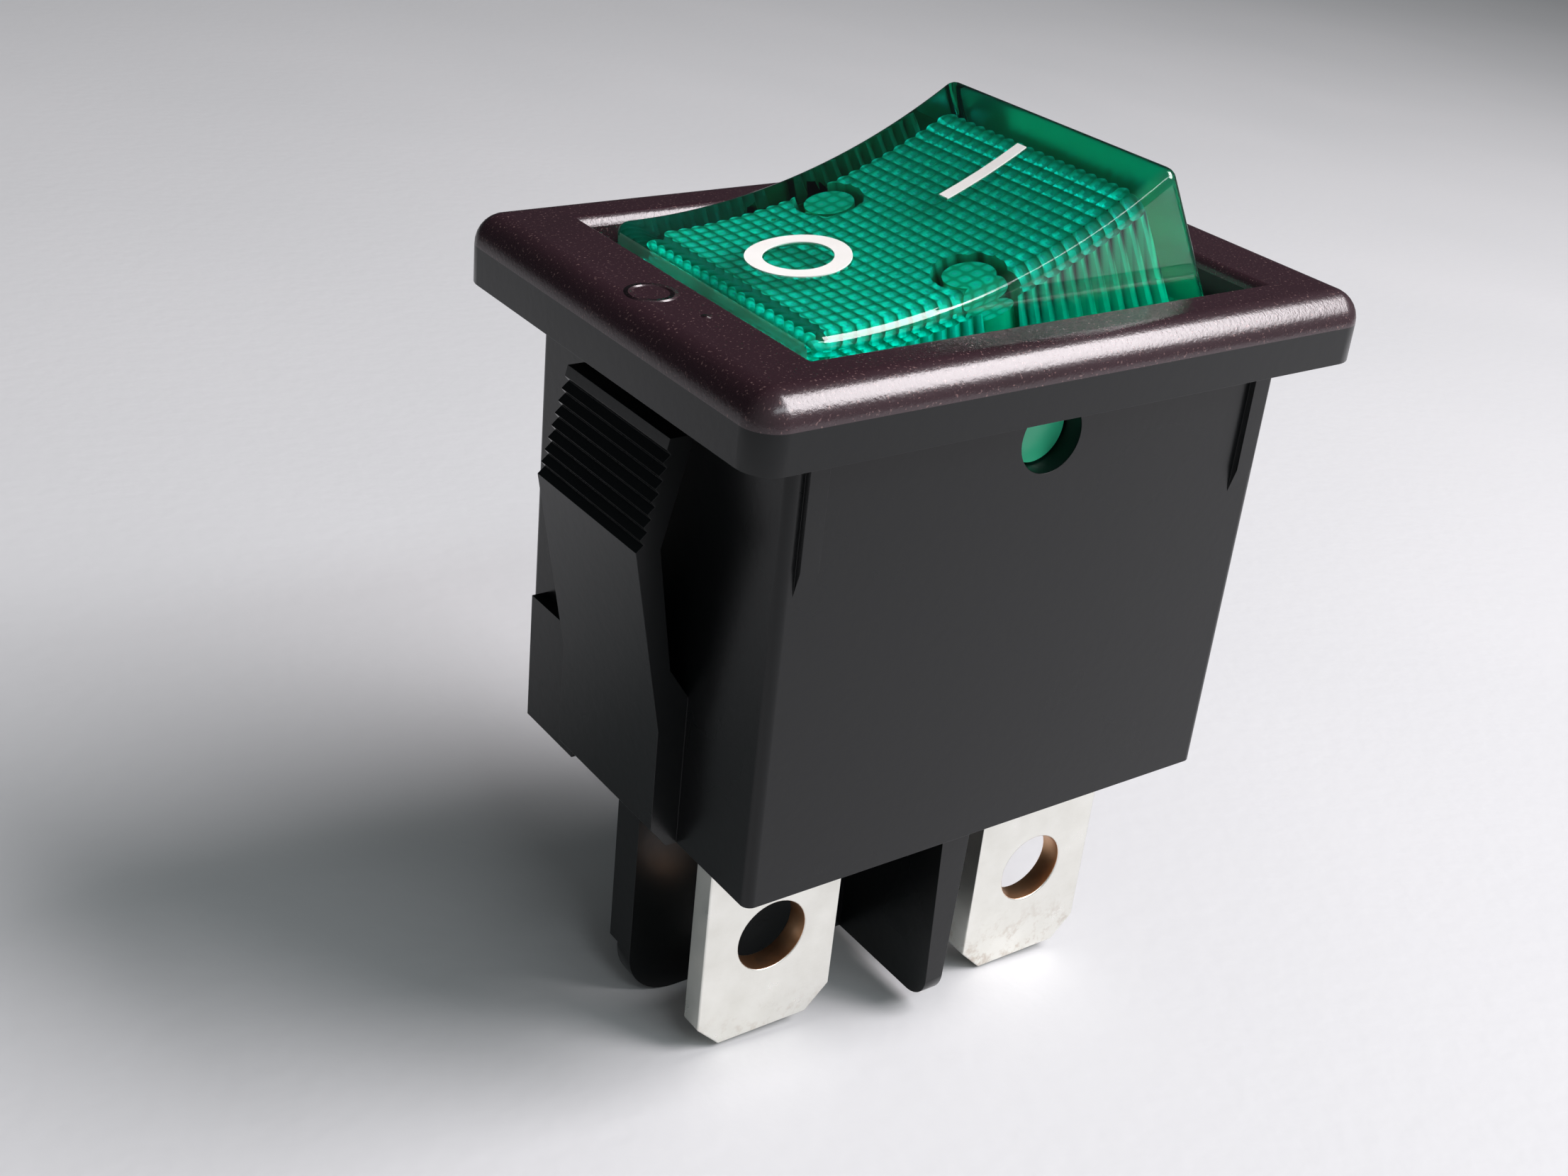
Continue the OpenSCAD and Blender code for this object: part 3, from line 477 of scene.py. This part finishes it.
def rounded_cad(node, name, materials, segments):
    """A CAD node with its triangles joined into whole faces and its sharp edges rounded."""
    bm = bmesh.new()
    bm.from_mesh(frame["nodes"][node].data)
    bmesh.ops.remove_doubles(bm, verts=bm.verts, dist=0.0005 * MM)
    bmesh.ops.dissolve_limit(bm, angle_limit=math.radians(1), verts=bm.verts, edges=bm.edges)
    piece = new_piece(name, bm, materials)
    step = piece.modifiers.new("edges", "BEVEL")
    step.width, step.segments = EDGE_ROUNDING * MM, segments
    step.limit_method, step.angle_limit = "ANGLE", math.radians(30)
    step.use_clamp_overlap = True
    step.miter_outer = "MITER_ARC"
    return shaded(applied(piece), 50)


# ---- rocker ----

def rocker_block():
    """The rocker's outer form, solid, with its upper edges rounded. The rounding starts further
    back than its radius, as the ends' edges turn a little more than a right angle, and the arc
    of the top leaves a longer step than that at both ends."""
    bm = bmesh.new()
    steps = 56
    set_back = 1.12 * EDGE_RADIUS
    end_step = 1.5 * EDGE_RADIUS
    reach = meet_x(0, 0)
    arc_end = reach - end_step
    xs = [reach] + [arc_end - 2 * arc_end * i / steps for i in range(steps + 1)] + [-reach]
    outline = [(HALF_BASE, 0.0)] + [(x, top_height(x)) for x in xs] + [(-HALF_BASE, 0.0)]
    sides = [[bm.verts.new((x, s * half_width(z), z)) for x, z in outline] for s in (-1, 1)]
    count = len(outline)
    bm.faces.new(sides[0][::-1])
    bm.faces.new(sides[1])
    for i in range(count):
        j = (i + 1) % count
        bm.faces.new((sides[0][i], sides[0][j], sides[1][j], sides[1][i]))
    bm.normal_update()
    bmesh.ops.recalc_face_normals(bm, faces=bm.faces)
    rounded = [e for e in bm.edges if e.calc_face_angle(0) > math.radians(35)
               and max(v.co.z for v in e.verts) > ROCKER_MID * 0.8]
    bmesh.ops.bevel(bm, geom=rounded, offset=set_back, segments=6, profile=0.5, affect="EDGES")
    return new_piece("rocker_body", bm, [rocker_green])


def core_tree(sizes):
    """Node group of the core that leaves the rocker's hollow. A closed box of small quads is bent
    so that its top follows the hollow's arched top, dimpled with one prism a cell, and its sides
    carry an upright flute a cell. The prisms stop where the posts stand."""
    tree = bpy.data.node_groups.new("prism_core", "GeometryNodeTree")
    tree.interface.new_socket("Core", in_out="OUTPUT", socket_type="NodeSocketGeometry")
    for name, value in sizes.items():
        kind = "NodeSocketInt" if isinstance(value, int) else "NodeSocketFloat"
        tree.interface.new_socket(name, in_out="INPUT", socket_type=kind).default_value = value
    given = add(tree, "NodeGroupInput").outputs

    # a box from -1 to 1, with some steps in each cell
    counts = []
    for name in ("Columns", "Rows"):
        steps = add(tree, "ShaderNodeMath", {0: given[name], 1: given["Steps a cell"]}, operation="MULTIPLY")
        counts.append(add(tree, "ShaderNodeMath", {0: steps, 1: 1.0}, operation="ADD"))
    box = add(tree, "GeometryNodeMeshCube", {
        "Size": (2.0, 2.0, 2.0), "Vertices X": counts[0], "Vertices Y": counts[1], "Vertices Z": 2})
    unit = add(tree, "GeometryNodeInputPosition")
    at = add(tree, "ShaderNodeSeparateXYZ", {0: unit}).outputs

    # a wave that rises once a cell, along X and along Y
    cells = add(tree, "ShaderNodeCombineXYZ", {"X": given["Columns"], "Y": given["Rows"]})
    from_corner = add(tree, "ShaderNodeVectorMath", {0: unit, 1: (1.0, 1.0, 1.0)}, operation="ADD")
    turns = add(tree, "ShaderNodeVectorMath", {0: from_corner, 1: cells}, operation="MULTIPLY")
    turns = add(tree, "ShaderNodeVectorMath", {0: turns, "Scale": math.pi / 2}, operation="SCALE")
    waves = add(tree, "ShaderNodeVectorMath", {0: turns}, operation="SINE")
    waves = add(tree, "ShaderNodeVectorMath", {0: waves}, operation="ABSOLUTE")
    wave = add(tree, "ShaderNodeSeparateXYZ", {0: waves}).outputs

    # the arched top
    half_hollow = (HOLLOW_LENGTH / 2, HOLLOW_WIDTH / 2, 0.0)
    spread = add(tree, "ShaderNodeVectorMath", {0: unit, 1: half_hollow}, operation="MULTIPLY")
    top = add(tree, "ShaderNodeSeparateXYZ", {0: spread}).outputs
    squared = add(tree, "ShaderNodeMath", {0: top["X"], 1: top["X"]}, operation="MULTIPLY")
    under = add(tree, "ShaderNodeMath", {0: (ARC_RADIUS + SHELL) ** 2, 1: squared}, operation="SUBTRACT")
    arc = add(tree, "ShaderNodeMath", {0: under}, operation="SQRT")
    arch = add(tree, "ShaderNodeMath", {0: ARC_CENTRE, 1: arc}, operation="SUBTRACT")

    # its prisms, clear of the posts
    folded = add(tree, "ShaderNodeVectorMath", {0: spread}, operation="ABSOLUTE")
    from_post = add(tree, "ShaderNodeVectorMath", {0: folded, 1: (0.0, POST_Y, 0.0)}, operation="DISTANCE")
    clear = add(tree, "ShaderNodeMath", {0: from_post, 1: POST_RADIUS - 0.05}, operation="GREATER_THAN")
    prism = add(tree, "ShaderNodeMath", {0: wave["X"], 1: wave["Y"]}, operation="MULTIPLY")
    prism = add(tree, "ShaderNodeMath", {0: prism, 1: clear}, operation="MULTIPLY")
    dip = add(tree, "ShaderNodeMath", {0: prism, 1: given["Prism depth"]}, operation="MULTIPLY")
    height = add(tree, "ShaderNodeMath", {0: arch, 1: dip}, operation="SUBTRACT")
    ceiling = add(tree, "ShaderNodeCombineXYZ", {"X": top["X"], "Y": top["Y"], "Z": height})

    # flutes push the sides out, and nothing else: only there does 1.0001 times the place reach 1
    pushes = []
    for this, other in (("X", "Y"), ("Y", "X")):
        nearly = add(tree, "ShaderNodeMath", {0: at[this], 1: 1.0001}, operation="MULTIPLY")
        edge = add(tree, "ShaderNodeMath", {0: nearly}, operation="TRUNC")
        flute = add(tree, "ShaderNodeMath", {0: edge, 1: wave[other]}, operation="MULTIPLY")
        pushes.append(add(tree, "ShaderNodeMath", {0: flute, 1: given["Flute depth"]}, operation="MULTIPLY"))
    flutes = add(tree, "ShaderNodeCombineXYZ", {"X": pushes[0], "Y": pushes[1]})

    # the mouth lies a millimetre under the pivot
    half_mouth = (end_x(-CUT_PAST, END_WALL), half_width(-CUT_PAST) - SHELL, CUT_PAST)
    mouth = add(tree, "ShaderNodeVectorMath", {0: unit, 1: half_mouth}, operation="MULTIPLY")
    is_top = add(tree, "ShaderNodeMath", {0: at["Z"], 1: 0.0}, operation="GREATER_THAN")
    shape = add(tree, "ShaderNodeMix", {"Factor": is_top, "A": mouth, "B": ceiling}, data_type="VECTOR")
    fluted = add(tree, "ShaderNodeVectorMath", {0: shape, 1: flutes}, operation="ADD")
    bent = add(tree, "GeometryNodeSetPosition", {"Geometry": box, "Position": fluted})
    whole = add(tree, "GeometryNodeRealizeInstances", {"Geometry": bent})
    painted = add(tree, "GeometryNodeSetMaterial", {"Geometry": whole, "Material": rocker_green})
    add(tree, "NodeGroupOutput", {"Core": painted})
    return tree


def hollow_core():
    """The core that leaves the hollow, made by its node group."""
    sizes = {"Columns": COLUMNS, "Rows": ROWS, "Steps a cell": STEPS_A_CELL,
             "Prism depth": PRISM_DEPTH, "Flute depth": FLUTE_DEPTH}
    core = new_piece("cavity_tool", bmesh.new(), [rocker_green])
    step = core.modifiers.new("core", "NODES")
    step.node_group = core_tree(sizes)
    for socket in step.node_group.interface.items_tree:
        if socket.in_out == "INPUT":
            step[socket.identifier] = sizes[socket.name]
    return applied(core)


def rod(name, start, axis, radius, length, sides=48):
    """A cylinder from a point along an axis."""
    bm = bmesh.new()
    bmesh.ops.create_cone(bm, cap_ends=True, segments=sides, radius1=radius, radius2=radius, depth=length)
    turn = Vector((0, 0, 1)).rotation_difference(Vector(axis)).to_matrix().to_4x4()
    move = Matrix.Translation(Vector(start) + Vector(axis).normalized() * length / 2)
    bmesh.ops.transform(bm, matrix=move @ turn, verts=bm.verts)
    return new_piece(name, bm, [rocker_green])


def mark_pocket(name, loops, closed):
    """Cutter of a mark's pocket in the dished top, between two loops of points seen from above."""
    bm = bmesh.new()
    low, high = [[[bm.verts.new((x, y, top_height(x, drop))) for x, y in loop] for loop in loops]
                 for drop in (MARK_DEPTH + MARK_GAP, -CUT_ABOVE_MARK)]
    count = len(loops[0])
    for i in range(count if closed else count - 1):
        j = (i + 1) % count
        bm.faces.new((low[0][i], low[0][j], high[0][j], high[0][i]))
        bm.faces.new((low[1][j], low[1][i], high[1][i], high[1][j]))
        bm.faces.new((low[0][j], low[0][i], low[1][i], low[1][j]))
        bm.faces.new((high[0][i], high[0][j], high[1][j], high[1][i]))
    if not closed:
        for i in (0, count - 1):
            bm.faces.new((low[0][i], low[1][i], high[1][i], high[0][i]))
    bmesh.ops.recalc_face_normals(bm, faces=bm.faces)
    return new_piece(name, bm, [rocker_green])


def ring_pocket():
    """Cutter of the off mark's pocket."""
    sides = 72
    turns = [2 * math.pi * i / sides for i in range(sides)]
    loops = [[(-MARK_X + r * math.cos(t), r * math.sin(t)) for t in turns]
             for r in (RING_RADIUS + MARK_GAP, RING_RADIUS - RING_LINE - MARK_GAP)]
    return mark_pocket("pocket_ring", loops, True)


def bar_pocket():
    """Cutter of the on mark's pocket, in short steps that follow the dish."""
    steps = 23
    start = MARK_X - BAR_LENGTH / 2 - MARK_GAP
    end = MARK_X + BAR_LENGTH / 2 + MARK_GAP
    side = BAR_WIDTH / 2 + MARK_GAP
    xs = [start + (end - start) * i / steps for i in range(steps + 1)]
    return mark_pocket("pocket_bar", [[(x, y) for x in xs] for y in (side, -side)], False)


def mark_core_faces(mesh):
    """Keeps how each face was moulded, from where it lies on the level rocker."""
    near, around, fine = 0.02, 0.05, 0.01
    end_on, upright = 0.93, 0.3
    spare = FLUTE_DEPTH + near
    values = []
    for face in mesh.polygons:
        x, y, z = face.center
        from_post = math.hypot(x, abs(y) - POST_Y)
        inside = (abs(x) < end_x(z, END_WALL) + spare
                  and abs(y) < half_width(z) - SHELL + spare
                  and z < top_height(x, SHELL) + near)
        in_bore = from_post < BORE_RADIUS + around and z < BORE_TOP - fine
        on_post_foot = from_post < POST_RADIUS + around and z < near
        value = POLISHED
        if abs(x) > end_x(z) - near and abs(face.normal.x) > end_on:
            value = MATT_END
        if abs(y) > half_width(0) and math.hypot(x, z) < STUB_RADIUS + around:
            value = STUB_OR_BORE
        if inside and z > near:
            value = CORE_WALL if abs(face.normal.z) < upright else PRISMS
        if inside and from_post < BORE_RADIUS and z < BORE_TOP + fine:
            value = BORE_END
        if inside and (in_bore or on_post_foot):
            value = STUB_OR_BORE
        values.append(value)
    mesh.attributes.new("moulded_core", "FLOAT", "FACE").data.foreach_set("value", values)


def make_rocker():
    """One moulding: the hollow block with its posts, lugs, pivot stubs and the marks' pockets."""
    rocker = rocker_block()
    combine(rocker, hollow_core(), "DIFFERENCE")
    inner = half_width(0) - SHELL
    for side in (-1, 1):
        out, up, along = (0, side, 0), (0, 0, 1), (1, 0, 0)
        post_foot = (0, side * POST_Y, -POST_DOWN)
        bore_foot = (0, side * POST_Y, -POST_DOWN - CUT_PAST)
        lead_start = (-POST_RADIUS - LEAD_RUN, side * POST_Y, LEAD_HEIGHT)
        wall = (0, side * inner, 0)
        for operation, *shape in (
                ("UNION", "post", post_foot, up, POST_RADIUS, POST_DOWN + ROCKER_MID - SHELL / 2),
                ("UNION", "lug", wall, out, LUG_RADIUS, half_width(0) - inner),
                ("UNION", "stub", wall, out, STUB_RADIUS, STUB_SPAN / 2 - inner),
                ("DIFFERENCE", "bore", bore_foot, up, BORE_RADIUS, POST_DOWN + CUT_PAST + BORE_TOP),
                ("DIFFERENCE", "lead_way", lead_start, along, LEAD_RADIUS + LEAD_GAP,
                 POST_RADIUS + LEAD_RUN, 16)):
            combine(rocker, rod(*shape), operation)
    combine(rocker, ring_pocket(), "DIFFERENCE")
    combine(rocker, bar_pocket(), "DIFFERENCE")
    mark_core_faces(rocker.data)
    rocker.data.transform(TO_ROCKER)
    shaded(rocker, 25)
    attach(rocker, "rocker")
    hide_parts("rocker")


make_rocker()


# ---- housing and terminals: the CAD forms with their edges rounded ----

housing = rounded_cad("housing", "housing_body", [body_black, bezel_black], 2)
for face in housing.data.polygons:
    face.material_index = int(face.center.z > GRAIN_FROM * MM)
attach(housing, "housing")
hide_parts("housing")
standing = [housing]

for side in ("front", "rear"):
    for kind in ("line", "load"):
        node = f"{side}_{kind}_terminal"
        blade = rounded_cad(node, f"{side}_{kind}_blade", [tin, brass_edge], 3)
        standing.append(blade)
        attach(blade, "housing")
        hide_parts(node)
        hole = mounts[f"{side}_{kind}_hole"]
        centre = Vector(hole["pos_m"])
        reach = (hole["dims"]["r_mm"] + HOLE_MARGIN) * MM
        for face in blade.data.polygons:
            in_hole = math.hypot(face.center.x - centre.x, face.center.z - centre.z) < reach
            face.material_index = int(in_hole and abs(face.normal.y) < 0.5)


# ---- the other pieces keep their CAD mesh ----

FINISHES = {
    mark_white: ["off_mark", "on_mark"],
    copper: ["front_contact_bar", "rear_contact_bar"],
    silver: ["front_moving_contact", "rear_moving_contact", "front_fixed_contact", "rear_fixed_contact"],
    steel: ["front_plunger", "rear_plunger", "front_spring", "rear_spring",
            "front_electrode", "rear_electrode"],
    wire: ["front_lead", "rear_lead", "resistor_lead"],
    glass: ["lamp_glass"],
    lacquer: ["resistor"],
}
for material, names in FINISHES.items():
    for name in names:
        for slot in frame["nodes"][name].material_slots:
            slot.material = material


# ---- floor, light and camera ----

def standing_line():
    """The two lowest points of the switch, left and right of its middle, that it stands on."""
    points = sorted({(v.co.x, v.co.z) for piece in standing for v in piece.data.vertices})
    hull = []
    for point in points:
        while len(hull) > 1 and ((hull[-1][0] - hull[-2][0]) * (point[1] - hull[-2][1])
                                 <= (hull[-1][1] - hull[-2][1]) * (point[0] - hull[-2][0])):
            hull.pop()
        hull.append(point)
    return next(pair for pair in zip(hull, hull[1:]) if pair[0][0] <= 0 < pair[1][0])


def make_floor():
    """A pale floor, laid under the points that the switch stands on."""
    left, right = standing_line()
    along = Vector((right[0] - left[0], 0, right[1] - left[1])).normalized()
    up = Vector((-along.z, 0, along.x))
    turn = Matrix((along, Vector((0, 1, 0)), up)).transposed().to_4x4()
    bm = bmesh.new()
    bmesh.ops.create_grid(bm, x_segments=1, y_segments=1, size=1.5)
    bmesh.ops.transform(bm, matrix=Matrix.Translation((right[0], 0, right[1])) @ turn, verts=bm.verts)
    new_piece("floor", bm, [painted_board()])


def soft_box(name, place, along, size, power, colour):
    """An area light at a place in millimetres, turned to the switch, its first side running along."""
    light = bpy.data.lights.new(name, "AREA")
    light.shape = "RECTANGLE"
    light.size, light.size_y = size[0] * MM, size[1] * MM
    light.energy = power
    light.color = srgb(colour)[:3]
    lamp = bpy.data.objects.new(name, light)
    lamp.location = Vector(place) * MM
    back = Vector(place).normalized()
    across = back.cross(Vector(along)).normalized()
    lamp.rotation_mode = "QUATERNION"
    lamp.rotation_quaternion = Matrix((across.cross(back), across, back)).transposed().to_quaternion()
    bpy.context.scene.collection.objects.link(lamp)


def make_light():
    """A large window high at the front right, a narrow strip over the front, and a soft room round
    them that is dim on the far side."""
    world = bpy.data.worlds.new("studio")
    bpy.context.scene.world = world
    world.use_nodes = True
    tree = world.node_tree
    tree.nodes.clear()
    looking = add(tree, "ShaderNodeTexCoord").outputs["Generated"]
    axes = add(tree, "ShaderNodeSeparateXYZ", {0: looking}).outputs
    to_front = add(tree, "ShaderNodeMapRange", {
        "Value": axes["Y"], "From Min": -0.5, "From Max": 0.6, "To Min": 1.0, "To Max": 0.0})
    colour = add(tree, "ShaderNodeMix", {
        "Factor": to_front, "A": srgb("#4A5054"), "B": srgb("#E4E7E8")}, data_type="RGBA")
    background = add(tree, "ShaderNodeBackground", {"Color": colour, "Strength": 0.42})
    add(tree, "ShaderNodeOutputWorld", {"Surface": background})
    soft_box("window", (174, -118, 201), (0, -0.85, -0.46), (215, 135), 1.52, "#FFF8FB")
    soft_box("strip", (22, -190, 200), (1, 0, 0), (215, 34), 0.19, "#F4FBFF")


def make_camera():
    """Looks down on the front and the left end, as one holds it to read the marks."""
    camera = bpy.data.objects.new("camera", bpy.data.cameras.new("camera"))
    camera.data.lens = 46.03
    place = Vector((-35.378, -41.510, 19.473)) * MM
    aim = Vector((-2.316, 1.715, -9.085)) * MM
    roll = Matrix.Rotation(math.radians(6.055), 3, "Z").to_quaternion()
    camera.location = place
    camera.rotation_mode = "QUATERNION"
    camera.rotation_quaternion = (aim - place).to_track_quat("-Z", "Y") @ roll
    camera.data.clip_start, camera.data.clip_end = 0.001, 10
    bpy.context.scene.collection.objects.link(camera)
    bpy.context.scene.camera = camera


make_floor()
make_light()
make_camera()
bpy.context.scene.view_settings.view_transform = "Standard"
